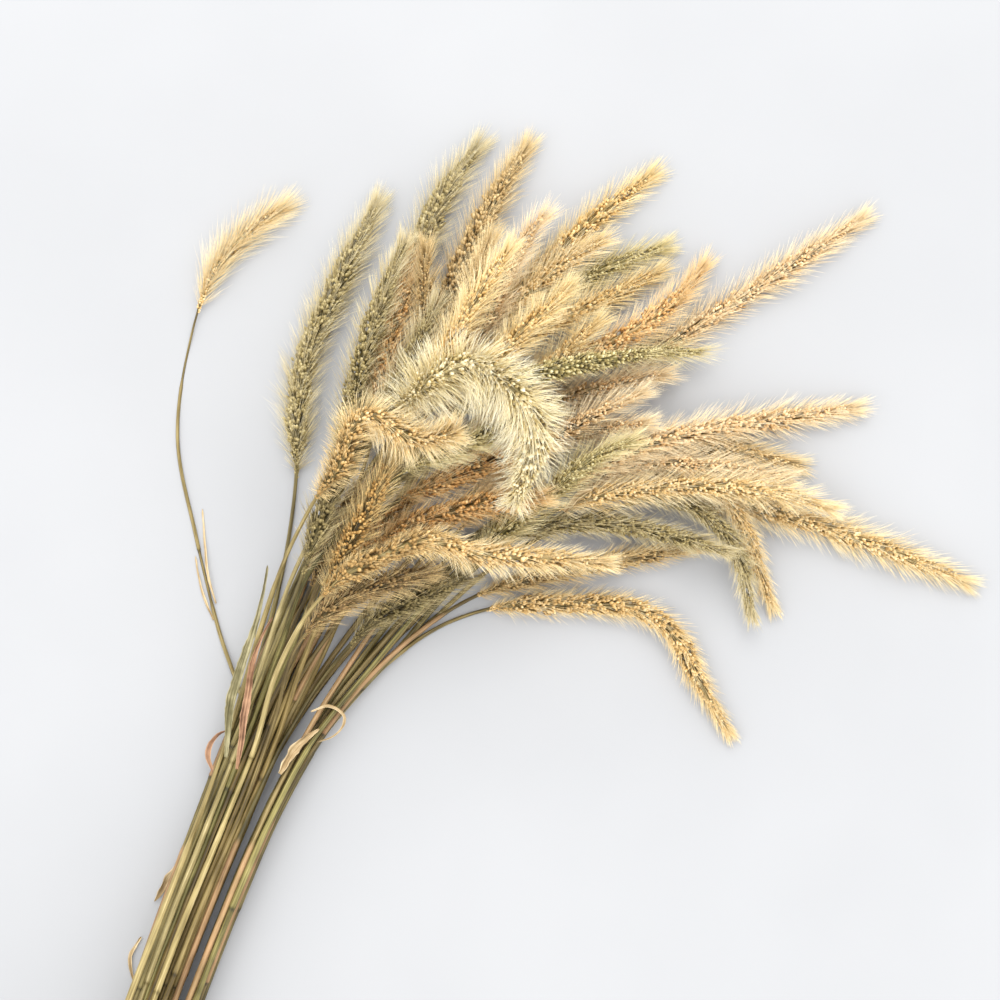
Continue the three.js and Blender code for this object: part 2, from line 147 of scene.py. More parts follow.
HEADS = {
    "stalk_crook": {
        **BRIGHT_HEAD, "spread": 74, "tip": 0.75, "length_mm": 14.0, "per_mm": 36.0, "droop": 0.18,
        # A value below nought pales the crook with painted light.
        "bare": 0.6, "specks": 0.25, "painted_shade": -0.14,
    },
    "stalk_curl": {
        **BRIGHT_HEAD, "spread": 68, "tip": 0.8, "length_mm": 9.5, "droop": 0.08, "painted_shade": 0.08,
        "painted_base_shade": 0.42,
    },
    "stalk_front_low": {
        **BRIGHT_HEAD, "spread": 48, "length_mm": 8.5, "per_mm": 19.0, "droop": 0.1, "reach": 1.04,
        "painted_shade": 0.1, "painted_base_shade": 0.6,
    },
    "stalk_tall_left": SPARSE_HEAD,
    "stalk_top_left": SPARSE_HEAD,
    "stalk_top_middle": SPARSE_HEAD,
    "stalk_hidden_green": {**SPARSE_HEAD, "per_mm": 9.0, "reach": 0.9},
    "stalk_dark_green": {
        **SPARSE_HEAD, "spread": 50, "length_mm": 6.5, "per_mm": 6.0, "reach": 1.06, "specks": 0.45,
    },
    "stalk_lone_left": {**SPARSE_HEAD, "spread": 32, "length_mm": 13.0, "reach": 0.86},
    "stalk_low_arch": SHORT_HEAD,
    "stalk_low_grey": SHORT_HEAD,
    "stalk_dark_right": SHORT_HEAD,
    "stalk_olive_droop": SHORT_HEAD,
    "stalk_faint_droop": SHORT_HEAD,
    "stalk_left_edge": LEFT_HEAD,
    "stalk_left_inner": LEFT_HEAD,
    "stalk_dark_seeded": LEFT_HEAD,
    "stalk_small_green": LEFT_HEAD,
    "stalk_orange_under": INNER_HEAD,
    "stalk_inner_brown_upper": INNER_HEAD,
    "stalk_inner_brown_lower": INNER_HEAD,
    "stalk_olive_inner": SHADED_HEAD,
    "stalk_olive_under": SHADED_HEAD,
    "stalk_brown_under": SHADED_HEAD,
    "stalk_tan_left_inner": SHADED_HEAD,
    "stalk_grey_low_inner": SHADED_HEAD,
    "stalk_brown_low": SHADED_HEAD,
}


# ---- Materials: each is made once for a tone ----

def linear(colour):
    """An sRGB colour, 0 to 255, as linear RGBA."""
    unit_colour = np.array(colour) / 255
    low, high = unit_colour / 12.92, ((unit_colour + 0.055) / 1.055) ** 2.4
    return (*np.where(unit_colour <= 0.04045, low, high), 1.0)


def darkened(colour, share):
    return tuple(int(share * channel) for channel in colour)


class Nodes:
    """A material's node tree, with short ways to add and join nodes."""

    def __init__(self, name):
        self.material = bpy.data.materials.new(name)
        self.material.use_nodes = True
        self.tree = self.material.node_tree
        self.shader = self.tree.nodes["Principled BSDF"]

    def add(self, kind, **settings):
        node = self.tree.nodes.new(kind)
        for name, value in settings.items():
            setattr(node, name, value)
        return node

    def join(self, source, target):
        self.tree.links.new(source, target)

    def value(self, name):
        """A number that the mesh holds for each of its points."""
        return self.add("ShaderNodeAttribute", attribute_name=name).outputs["Fac"]

    def grain(self):
        """Places stretched along the piece, so that noise on them makes streaks."""
        return self.add("ShaderNodeAttribute", attribute_name="grain").outputs["Vector"]

    def position(self):
        return self.add("ShaderNodeNewGeometry").outputs["Position"]

    def maths(self, operation, first, second):
        node = self.add("ShaderNodeMath", operation=operation)
        for socket, value in zip(node.inputs, (first, second)):
            if isinstance(value, (int, float)):
                socket.default_value = value
            else:
                self.join(value, socket)
        return node.outputs[0]

    def total(self, terms):
        """The sum of each value times its weight."""
        weighed = [self.maths("MULTIPLY", value, weight) for value, weight in terms]
        result = weighed[0]
        for value in weighed[1:]:
            result = self.maths("ADD", result, value)
        return result

    def ramp(self, factor, stops):
        node = self.add("ShaderNodeValToRGB")
        elements = node.color_ramp.elements
        while len(elements) < len(stops):
            elements.new(0.5)
        for element, (place, colour) in zip(elements, stops):
            element.position = place
            element.color = linear(colour)
        self.join(factor, node.inputs["Fac"])
        return node.outputs["Color"]

    def noise(self, vector, scale, detail):
        node = self.add("ShaderNodeTexNoise")
        node.inputs["Scale"].default_value = scale
        node.inputs["Detail"].default_value = detail
        self.join(vector, node.inputs["Vector"])
        return node.outputs["Fac"]

    def mix(self, factor, first, second):
        node = self.add("ShaderNodeMix", data_type="RGBA")
        self.join(factor, node.inputs["Factor"])
        self.join(first, node.inputs["A"])
        self.join(second, node.inputs["B"])
        return node.outputs["Result"]

    def bump(self, height, strength, distance):
        node = self.add("ShaderNodeBump")
        node.inputs["Strength"].default_value = strength
        node.inputs["Distance"].default_value = distance
        self.join(height, node.inputs["Height"])
        self.join(node.outputs["Normal"], self.shader.inputs["Normal"])

    def finish(self, colour, roughness, specular):
        self.join(colour, self.shader.inputs["Base Color"])
        self.shader.inputs["Roughness"].default_value = roughness
        self.shader.inputs["Specular IOR Level"].default_value = specular
        return self.material


@cache
def culm_material(tone):
    """A dry stem: lengthwise streaks, blotches, darker joints, and sheaths of which some blush. Its
    tone also carries part of its head's painted shade.
    """
    dark, light = TONES[tone]["culm"]
    nodes = Nodes(f"culm_{tone}")
    streaks = nodes.noise(nodes.grain(), scale=1900.0, detail=4.0)
    blotches = nodes.noise(nodes.position(), scale=90.0, detail=2.0)
    tint = nodes.total([
        (streaks, 0.85),
        (blotches, 0.35),
        (nodes.value("tone_and_painted_shade"), 0.35),
        (nodes.value("sheath"), 0.08),
        (nodes.value("joint"), -0.18),
    ])
    stops = [(0.30, darkened(dark, 0.55)), (0.48, dark), (0.78, light), (1.0, CULM_HIGHLIGHT)]
    plain = nodes.ramp(tint, stops)
    pink = nodes.ramp(tint, [(0.30, BLUSH[0]), (0.85, BLUSH[1])])
    blush = nodes.maths("MULTIPLY", nodes.value("blush"), blotches)
    colour = nodes.mix(nodes.maths("MULTIPLY", blush, 1.4), plain, pink)
    nodes.bump(streaks, strength=0.45, distance=0.1 * MM)
    return nodes.finish(colour, roughness=0.55, specular=0.4)


@cache
def seed_material(tone):
    """Spikelets: painted shade darkens them towards their base, in the gaps; they pale to the tip, up
    to a painted highlight, each of its own tone.
    """
    dark, middle, pale = TONES[tone]["seed"]
    nodes = Nodes(f"seed_{tone}")
    specks = nodes.noise(nodes.position(), scale=1500.0, detail=2.0)
    tint = nodes.total([
        (nodes.value("tone_and_painted_shade"), 0.48),
        (nodes.value("along"), 0.45),
        (nodes.maths("SUBTRACT", specks, 0.5), 0.25),
    ])
    colour = nodes.ramp(tint, [(0.14, dark), (0.46, middle), (0.80, pale), (1.0, SEED_PAINTED_HIGHLIGHT)])
    return nodes.finish(colour, roughness=0.45, specular=0.45)


@cache
def bristle_material(tone):
    """Bristles: fine hairs that pale towards their tips, no two quite alike. Their colours hold a
    painted glow, and the darkest stops carry the heads' painted shade.
    """
    root, tip = TONES[tone]["bristle"]
    nodes = Nodes(f"bristle_{tone}")
    flecks = nodes.noise(nodes.position(), scale=900.0, detail=1.0)
    tint = nodes.total([
        (nodes.value("along"), 0.50),
        (nodes.value("tone_and_painted_shade"), 0.50),
        (nodes.maths("SUBTRACT", flecks, 0.5), 0.15),
    ])
    stops = [(0.0, darkened(root, 0.5)), (0.18, darkened(root, 0.78)), (0.36, root), (0.84, tip)]
    return nodes.finish(nodes.ramp(tint, stops), roughness=0.45, specular=0.35)


@cache
def leaf_material(tone):
    """A dry leaf: lengthwise veins, blotches and a faded edge."""
    dark, light = TONES[tone]["leaf"]
    nodes = Nodes(tone)
    veins = nodes.noise(nodes.grain(), scale=2600.0, detail=3.0)
    blotches = nodes.noise(nodes.position(), scale=160.0, detail=3.0)
    tint = nodes.total([(veins, 0.65), (blotches, 0.5), (nodes.value("edge"), 0.12)])
    colour = nodes.ramp(tint, [(0.36, darkened(dark, 0.7)), (0.52, dark), (0.76, light)])
    nodes.bump(veins, strength=0.5, distance=0.1 * MM)
    return nodes.finish(colour, roughness=0.6, specular=0.3)


def floor_material():
    nodes = Nodes("floor")
    clouds = nodes.noise(nodes.position(), scale=7.0, detail=3.0)
    colour = nodes.ramp(clouds, [(0.35, FLOOR[0]), (0.65, FLOOR[1])])
    return nodes.finish(colour, roughness=0.9, specular=0.1)


# ---- Vectors, one to a row ----

def unit(vectors):
    return vectors / np.linalg.norm(vectors, axis=-1, keepdims=True)


def around(side, up, turn):
    """Unit vectors square to the axis at these angles round it, and the ones beside them."""
    cosine, sine = np.cos(turn)[..., None], np.sin(turn)[..., None]
    return side * cosine + up * sine, up * cosine - side * sine


# ---- Courses: the CAD solids' centre lines ----

MERGE_DISTANCE = 0.001 * MM
RIM_NEIGHBOURS = 5  # how many corners share an edge with one on an end's rim


def solid_rings(node):
    """The ring centres and radii of a CAD solid, from its flat end to its tip."""
    mesh = node.data
    places = np.array([vertex.co for vertex in mesh.vertices])
    cells = np.round(places / MERGE_DISTANCE).astype(np.int64)
    _, first, merged = np.unique(cells, axis=0, return_index=True, return_inverse=True)
    points, merged = places[first], merged.ravel()
    near = [set() for _ in points]
    for polygon in mesh.polygons:
        corners = [merged[i] for i in polygon.vertices]
        for corner in corners:
            near[corner].update(corners)
    for corner, others in enumerate(near):
        others.discard(corner)
    rim = {corner for corner, others in enumerate(near) if len(others) == RIM_NEIGHBOURS}
    end_points = [corner for corner, others in enumerate(near) if others and others <= rim]

    def height_over_rim(end_point):
        return np.linalg.norm(points[end_point] - points[list(near[end_point])].mean(0))

    flat_end = min(end_points, key=height_over_rim)
    seen, layer, rings = {flat_end}, near[flat_end], []
    while len(layer) > 1:
        seen |= layer
        rings.append(points[sorted(layer)])
        layer = set().union(*(near[corner] for corner in layer)) - seen
    centres = np.array([ring.mean(0) for ring in rings])
    spans = np.array([np.linalg.norm(ring[:, None] - ring[None], axis=2).max() for ring in rings])
    return centres, spans / 2


class Course:
    """A smooth centre line: place, radius and frame at any distance along it. Its knots are the
    distances of the CAD rings, which a cubic curve joins."""

    def __init__(self, centres, radii, step):
        chords = np.linalg.norm(np.diff(centres, axis=0), axis=1)
        self.knots = np.concatenate([[0], np.cumsum(chords)])
        self.length = self.knots[-1]
        self.s = np.linspace(0, self.length, max(8, int(self.length / step)))
        self.place = self.cubic(centres, chords)
        self.radius = np.interp(self.s, self.knots, radii)
        forward = np.gradient(self.place, axis=0)
        self.forward = forward / np.linalg.norm(forward, axis=1)[:, None]
        # Each frame is the one before it, turned only as far as the course bends.
        self.side = np.empty_like(forward)
        side = np.cross(self.forward[0], (0, 0, 1))
        for i, ahead in enumerate(self.forward):
            side = side - ahead * side.dot(ahead)
            side /= np.linalg.norm(side)
            self.side[i] = side
        self.up = np.cross(self.side, self.forward)

    def cubic(self, centres, chords):
        """Places on a curve through the centres, whose tangent at each blends its two chords."""
        slopes = np.diff(centres, axis=0) / chords[:, None]
        inner = slopes[:-1] * chords[1:, None] + slopes[1:] * chords[:-1, None]
        inner /= (chords[1:] + chords[:-1])[:, None]
        tangents = np.vstack([slopes[:1], inner, slopes[-1:]])
        part = np.searchsorted(self.knots, self.s, side="right") - 1
        part = np.clip(part, 0, len(chords) - 1)
        t = ((self.s - self.knots[part]) / chords[part])[:, None]
        run = chords[part][:, None]
        return (
            (2 * t**3 - 3 * t**2 + 1) * centres[part]
            + (t**3 - 2 * t**2 + t) * run * tangents[part]
            + (3 * t**2 - 2 * t**3) * centres[part + 1]
            + (t**3 - t**2) * run * tangents[part + 1]
        )

    def at(self, s):
        """Places and unit forward, side and up vectors at the distances s."""
        found = [
            np.stack([np.interp(s, self.s, values[:, axis]) for axis in range(3)], axis=-1)
            for values in (self.place, self.forward, self.side, self.up)
        ]
        return [found[0]] + [unit(vectors) for vectors in found[1:]]

    def radius_at(self, s):
        return np.interp(s, self.s, self.radius)


class Stalk(NamedTuple):
    """What the three pieces of a stalk share. Its head begins at the distance head_start."""

    name: str
    tone: str
    look: dict
    course: Course
    head_start: float

    @property
    def head_length(self):
        return self.course.length - self.head_start

    def head_share(self, s):
        """How far up the head the distances s are, from 0 to 1."""
        return (s - self.head_start) / self.head_length

    def painted_shade_at(self, share):
        """How much painted shade darkens the head this share of the way up it, or below nought how
        much painted light pales it.
        """
        lower_part = np.interp(share, [0, 0.28, 0.46], [1, 1, 0])
        return self.look["painted_shade"] + self.look["painted_base_shade"] * lower_part


# ---- Meshes ----

def add_attribute(mesh, name, values):
    """One number, or a row of three, for each point."""
    kind, field = ("FLOAT_VECTOR", "vector") if values.ndim == 2 else ("FLOAT", "value")
    layer = mesh.attributes.new(name, kind, "POINT")
    layer.data.foreach_set(field, values.astype(np.float32).ravel())


def new_piece(name, points, faces, maps, material, attributes, node):
    """A mesh piece that rides with the bunch. faces is a list of arrays, one for each corner count,
    and maps holds the same corners' places on the map that a bake of the piece uses."""
    mesh = bpy.data.meshes.new(name)
    counts = np.concatenate([np.full(len(part), part.shape[1]) for part in faces])
    corners = np.concatenate([part.ravel() for part in faces])
    starts = np.concatenate([[0], np.cumsum(counts)[:-1]])
    mesh.vertices.add(len(points))
    mesh.vertices.foreach_set("co", points.astype(np.float32).ravel())
    mesh.loops.add(len(corners))
    mesh.loops.foreach_set("vertex_index", corners.astype(np.int32))
    mesh.polygons.add(len(counts))
    mesh.polygons.foreach_set("loop_start", starts.astype(np.int32))
    mesh.polygons.foreach_set("loop_total", counts.astype(np.int32))
    mesh.polygons.foreach_set("use_smooth", np.ones(len(counts), bool))
    for key, values in attributes.items():
        add_attribute(mesh, key, values)
    layer = mesh.uv_layers.new(name="OFBake")
    places = np.concatenate([part.reshape(-1, 2) for part in maps])
    layer.uv.foreach_set("vector", places.astype(np.float32).ravel())
    mesh.update(calc_edges=True)
    mesh.validate()
    mesh.materials.append(material)
    piece = bpy.data.objects.new(name, mesh)
    bpy.context.scene.collection.objects.link(piece)
    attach(piece, "root")
    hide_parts(node)


def ring_faces(rings, sides):
    """Quads that join rings of corners in turn."""
    ring, corner = np.divmod(np.arange((rings - 1) * sides), sides)
    beside = (corner + 1) % sides
    here, after = ring * sides, (ring + 1) * sides
    return np.stack([here + corner, here + beside, after + beside, after + corner], 1)


def copies(size, faces, count):
    """The faces of count copies of a template that has size points."""
    shift = np.arange(count)[:, None, None] * size
    return (faces[None] + shift).reshape(-1, faces.shape[1])


END_ON_MAP = 0.004  # the share of the map's height that each end of a tube takes


def tube(rings, sides):
    """Faces and map places of a tube of rings of corners, closed by a fan at each end. The fans'
    two middle points follow the rings' corners."""
    skin = ring_faces(rings, sides)
    ring, corner = np.divmod(np.arange(len(skin)), sides)
    u = np.stack([corner, corner + 1, corner + 1, corner], 1) / sides
    v = np.stack([ring, ring, ring + 1, ring + 1], 1) / (rings - 1)
    fan = np.arange(sides)
    beside = (fan + 1) % sides
    last = (rings - 1) * sides
    ends = np.concatenate([
        np.stack([np.full(sides, rings * sides), beside, fan], 1),
        np.stack([np.full(sides, rings * sides + 1), last + fan, last + beside], 1),
    ])
    end_u = np.stack([fan + 0.5, fan + 1, fan], 1) / sides
    end_v = np.broadcast_to(np.array([END_ON_MAP, 0.0, 0.0]), (sides, 3))
    end_map = np.concatenate([
        np.stack([end_u, end_v], 2),
        np.stack([end_u[:, [0, 2, 1]], 1 - end_v], 2),
    ])
    return [skin, ends], [np.stack([u, v], 2), end_map]


def strand_maps(faces, tone_and_painted_shade, along, size):
    """Map places for many small alike shapes: each lies by its tone, painted shade included, across
    and its length up, inside a narrow margin, and its corners lie a little apart, so that no face is
    without width."""
    apart = (np.arange(size) % 3) * 0.012
    placed = (tone_and_painted_shade - tone_and_painted_shade.min()) / np.ptp(tone_and_painted_shade) * 0.96 + 0.005
    across = (placed[:, None] + apart[None]).ravel()
    places = np.stack([across, np.tile(along * 0.98 + 0.01, len(tone_and_painted_shade))], 1)
    return [places[part] for part in faces]


def above_floor(points):
    points[:, 2] = np.maximum(points[:, 2], FLOOR_CLEARANCE)
    return points


def pressed_on_floor(spine):
    """Bristles that would pass through the surface are bent along it."""
    root = spine[:, :1, 2]
    rest = 3 * FLOOR_CLEARANCE
    lowest = spine[..., 2].min(axis=1, keepdims=True)
    share = np.where(lowest < rest, (root - rest) / np.maximum(root - lowest, 1e-9), 1.0)
    spine[..., 2] = root + (spine[..., 2] - root) * np.clip(share, 0, 1)
    return spine


# ---- Culms ----

CULM_SIDES = 12
CULM_RIDGES = 6
RIDGE_SHARE = 0.055  # of the radius
CULM_STEP = 3.0 * MM
CULM_SHARE = 0.97  # of the stalk's length
JOINT_SPACING = 92 * MM
FIRST_JOINT = (0.3, 0.9)  # the least and the greatest distance from the cut end, in spacings
JOINT_SCATTER_MM = 9
JOINT_RINGS = np.array([-1.2, -0.5, 0, 0.6, 1.2]) * MM  # the places of the extra rings at a joint
JOINT_LENGTH = 0.9 * MM
JOINT_SWELL = 0.16
PLAIN_BELOW_HEAD = 70 * MM
SHEATH_LENGTH = 62 * MM
SHEATH_THICKNESS = 0.18 * MM
BLUSH_CHANCE = 0.15
BORE_SHARE = 0.5
BORE_DEPTH = 3 * MM
TIP_LENGTH = 0.5 * MM
AXIS_RADIUS = 0.55 * MM  # of the culm inside its head, at the head's base
AXIS_TAPER = 0.6
AXIS_SHARE = 0.34  # of the head's radius, to where the bases of its spikelets crowd round the culm
CULM_GRAIN_STRETCH = 0.035
CULM_SHADES = (-0.4, 0.2)
# A culm takes on part of its head's painted shade.
CULM_PAINTED_SHADE = 0.7  # how much of its head's dimness a culm takes on


def culm_joints(head_start, rng):
    """The distances of the joints, from the cut end to a plain length below the head."""
    first = rng.uniform(*FIRST_JOINT) * JOINT_SPACING
    joints = np.arange(first, head_start - PLAIN_BELOW_HEAD, JOINT_SPACING)
    return joints + rng.uniform(-JOINT_SCATTER_MM, JOINT_SCATTER_MM, len(joints)) * MM


def make_culm(stalk, rng):
    """A jointed stem, hollow at its cut end, that runs on through its head as the thin axis."""
    course = stalk.course
    end = course.length * CULM_SHARE
    joints = culm_joints(stalk.head_start, rng)
    near_joints = np.concatenate([joints + offset for offset in JOINT_RINGS])
    s = np.unique(np.concatenate([np.arange(0, end, CULM_STEP), near_joints, [end]]))
    s = s[(s >= 0) & (s <= end)]
    place, forward, side, up = course.at(s)

    inside = s > stalk.head_start
    girth = course.radius_at(s)
    axis_radius = AXIS_RADIUS * (1 - AXIS_TAPER * stalk.head_share(s))
    stem = np.where(inside, np.maximum(AXIS_SHARE * girth, axis_radius), girth)
    from_joint = s[:, None] - joints[None]
    joint = np.exp(-(np.abs(from_joint).min(1, initial=1.0) / JOINT_LENGTH) ** 2)
    covered = ((from_joint > 0) & (from_joint < SHEATH_LENGTH)).any(1)
    sheath = np.where(covered & ~inside, 1.0, 0.0)
    radius = stem * (1 + JOINT_SWELL * joint) + SHEATH_THICKNESS * sheath

    angle = np.linspace(0, 2 * np.pi, CULM_SIDES, endpoint=False)
    ridges = 1 + RIDGE_SHARE * np.cos(angle * CULM_RIDGES)
    out = around(side[:, None], up[:, None], angle)[0]
    skin = place[:, None] + out * (radius[:, None] * ridges[None])[..., None]
    bore = place[0] + out[0] * (radius[0] * BORE_SHARE)
    rings = np.concatenate([[bore + forward[0] * BORE_DEPTH, bore], skin])
    count = len(rings)
    ends = np.array([place[0] + forward[0] * BORE_DEPTH, place[-1] + forward[-1] * TIP_LENGTH])
    points = above_floor(np.concatenate([rings.reshape(-1, 3), ends]))

    circle = np.stack([np.cos(angle), np.sin(angle)], 1) * MM
    along = np.concatenate([[s[0], s[0]], s]) * CULM_GRAIN_STRETCH
    grain = np.concatenate([
        np.broadcast_to(circle[None], (count, CULM_SIDES, 2)),
        np.broadcast_to(along[:, None, None], (count, CULM_SIDES, 1)),
    ], axis=2).reshape(-1, 3)
    grain = np.concatenate([grain, np.zeros((2, 3))]) + rng.uniform(0, 1, 3)

    def per_point(values):
        padded = np.concatenate([values[:1], values[:1], values])
        return np.concatenate([np.repeat(padded, CULM_SIDES), values[:1], values[-1:]])

    # A random tone, darkened with part of its head's painted shade.
    tone_and_painted_shade = rng.uniform(*CULM_SHADES) - CULM_PAINTED_SHADE * stalk.look["painted_shade"]
    attributes = {
        "grain": grain,
        "joint": per_point(joint),
        "sheath": per_point(sheath),
        "tone_and_painted_shade": np.full(len(points), tone_and_painted_shade),
        "blush": per_point(sheath) * (rng.random() < BLUSH_CHANCE),
    }
    faces, maps = tube(count, CULM_SIDES)
    new_piece(f"{stalk.name}_culm", points, faces, maps, culm_material(stalk.tone), attributes,
              stalk.name)


# ---- Branches: the small clusters that a head's spikelets and bristles grow from ----

SPIKELETS_PER_MM = 15.0
CLUSTER_SIZE = 9
GOLDEN_ANGLE = math.radians(137.508)
BRANCH_SCATTER = 0.4 * MM
BRANCH_TURN_SCATTER = 0.22
BRANCH_SWELL_SCATTER = 0.10


class Branches(NamedTuple):
    """Each branch's distance along the stalk, its angle round it and how far it swells the head."""

    s: np.ndarray
    turn: np.ndarray
    swell: np.ndarray


def head_branches(stalk, rng):
    count = int(stalk.head_length / MM * SPIKELETS_PER_MM / CLUSTER_SIZE)
    share = (np.arange(count) + 0.5) / count
    s = stalk.head_start + stalk.head_length * (share * 0.985 + 0.005)
    s = s + rng.normal(0, BRANCH_SCATTER, count)
    turn = np.arange(count) * GOLDEN_ANGLE + rng.normal(0, BRANCH_TURN_SCATTER, count)
    swell = rng.normal(1.0, BRANCH_SWELL_SCATTER, count)
    return Branches(np.clip(s, stalk.head_start, stalk.course.length), turn, swell)


# ---- Spikelets ----

SPIKELET_LENGTH = 2.0 * MM
SPIKELET_WIDTH = 1.3 * MM
SPIKELET_FLATNESS = 0.85
SPIKELET_SCATTER = 0.95 * MM
SPIKELET_TURN_SCATTER = 0.3
SPIKELET_LEAN = (44, 10)  # degrees from the axis: mean and scatter
SPIKELET_SWAY = 0.2
SPIKELET_SIZES = (0.85, 1.15)  # the least and the greatest, as shares of the full size
SPIKELET_SINK = 1.2 * MM  # of the outermost roots, below the head's surface
SPIKELET_DEPTHS = (0.5, 1.0)  # how far out the roots are, as shares of the outermost ones
LEAST_DEPTH = 0.1 * MM
SPIKELET_SHADES = (1.9, 2.1)  # the two numbers of a beta distribution
FULL_GIRTH = 4 * MM  # the radius of a head whose spikelets are full size
SPECK_DIM = 0.42  # how much darker a dark spikelet is


def ovoid(sides, rings):
    """A closed seed shape along +X, from 0 to 1, and its faces."""
    t = np.linspace(0, 1, rings + 2)[1:-1]
    radius = 0.5 * np.sin(np.pi * t) ** 0.5 * (1.08 - 0.25 * t)
    angle = np.linspace(0, 2 * np.pi, sides, endpoint=False)
    skin = np.stack([
        np.repeat(t, sides),
        np.outer(radius, np.cos(angle)).ravel(),
        np.outer(radius, np.sin(angle)).ravel(),
    ], 1)
    return np.concatenate([skin, [[0, 0, 0], [1.0, 0, 0]]]), tube(rings, sides)[0]


SEED_POINTS, SEED_FACES = ovoid(sides=6, rings=2)


def make_spikelets(stalk, branches, rng):
    """Seeds in clusters, which lean towards the tip and cover the axis."""
    course, look = stalk.course, stalk.look
    s, turn, swell = (np.repeat(values, CLUSTER_SIZE) for values in branches)
    count = len(s)
    s = np.clip(s + rng.normal(0, SPIKELET_SCATTER, count), 0, course.length)
    share = stalk.head_share(s)
    girth = course.radius_at(s) * look["reach"]
    girth = girth * (1 + 0.7 * look["bare"] * np.interp(share, [0.6, 0.85], [0, 1]))
    turn = turn + rng.normal(0, SPIKELET_TURN_SCATTER, count)
    place, forward, side, up = course.at(s)
    out, beside = around(side, up, turn)

    lean = np.radians(rng.normal(*SPIKELET_LEAN, count))[:, None]
    sway = rng.normal(0, SPIKELET_SWAY, (count, 1))
    axis = unit(forward * np.cos(lean) + out * np.sin(lean) + beside * sway)
    across = unit(np.cross(axis, out))
    thick = np.cross(across, axis)
    scale = np.clip(girth / FULL_GIRTH, 0.6, 1.1)
    length = SPIKELET_LENGTH * rng.uniform(*SPIKELET_SIZES, count) * scale
    width = SPIKELET_WIDTH * rng.uniform(*SPIKELET_SIZES, count) * scale
    depth = np.maximum(girth * swell - SPIKELET_SINK, LEAST_DEPTH)
    depth = depth * rng.uniform(*SPIKELET_DEPTHS, count) ** 0.6
    root = place + out * depth[:, None] - forward * (0.4 * length)[:, None]
    points = (
        root[:, None]
        + axis[:, None] * (SEED_POINTS[None, :, :1] * length[:, None, None])
        + across[:, None] * (SEED_POINTS[None, :, 1:2] * width[:, None, None])
        + thick[:, None] * (SEED_POINTS[None, :, 2:] * SPIKELET_FLATNESS * width[:, None, None])
    )

    size = len(SEED_POINTS)
    # Each spikelet has a random tone, darkened with its head's painted shade.
    tone_and_painted_shade = rng.beta(*SPIKELET_SHADES, count) - stalk.painted_shade_at(share)
    # Dark spikelets are partly of their own dark tone and partly painted shade for the gaps between
    # clusters.
    tone_and_painted_shade = tone_and_painted_shade - SPECK_DIM * (rng.random(count) < look["specks"])
    attributes = {
        "tone_and_painted_shade": np.repeat(tone_and_painted_shade, size),
        "along": np.tile(SEED_POINTS[:, 0], count),
    }
    faces = [copies(size, part, count) for part in SEED_FACES]
    maps = strand_maps(faces, tone_and_painted_shade, SEED_POINTS[:, 0], size)
    new_piece(f"{stalk.name}_spikelets", above_floor(points.reshape(-1, 3)), faces, maps,
              seed_material(stalk.tone), attributes, stalk.name)


# ---- Bristles. Each is rings of three corners and a point at its tip ----

BRISTLE_RINGS = np.array([0.0, 0.45, 0.8])
BRISTLE_THICKNESS = np.array([1.0, 0.8, 0.5])
BRISTLE_CORNERS = np.radians([90, 210, 330])
BRISTLE_FACES = [ring_faces(rings=3, sides=3), np.array([[0, 2, 1], [6, 7, 9], [7, 8, 9], [8, 6, 9]])]
BRISTLE_POINTS = 10
BRISTLE_DEPTH = 1.5 * MM  # of its root below the head's surface
BRISTLE_SCATTER = 1.1 * MM
BRISTLE_TURN_SCATTER = 0.3
BRISTLE_LENGTHS = (0.68, 1.15)  # the least and the greatest, as shares of the look's length
BRISTLE_WIDTHS = (0.8, 1.2)
BRISTLE_SHADE = 0.55
BRISTLE_SHADE_SCATTER = (0.12, 0.18)  # of its branch, and of a bristle about that
BRISTLE_LEAN_SCATTER = (4, 8)  # the same, in degrees
BRISTLE_SWAY_SCATTER = (0.06, 0.12)
BRISTLE_BEND = (0.08, 0.05)  # forward: mean and scatter
BRISTLE_SIDE_BEND = (0, 0.05)
TOWARDS_STEMS = np.array([-0.3, -1.0, 0.0])
TUFT_SHARE = 0.05  # the bristles that stand in the tuft at the tip
TUFT_LENGTH_MM = 4


def bristle_branches(stalk, branches, rng):
    """The branch that each bristle grows from, with fewer of them on the bare part of a head."""
    per_mm = stalk.look["per_mm"]
    count = int(stalk.head_length / MM * per_mm * (1.0))
    branch = rng.integers(0, len(branches.s), count)
    share = stalk.head_share(branches.s[branch])
    kept = 1 - stalk.look["bare"] * np.interp(share, [0.6, 0.78], [0, 1])
    return branch[rng.random(count) < kept]


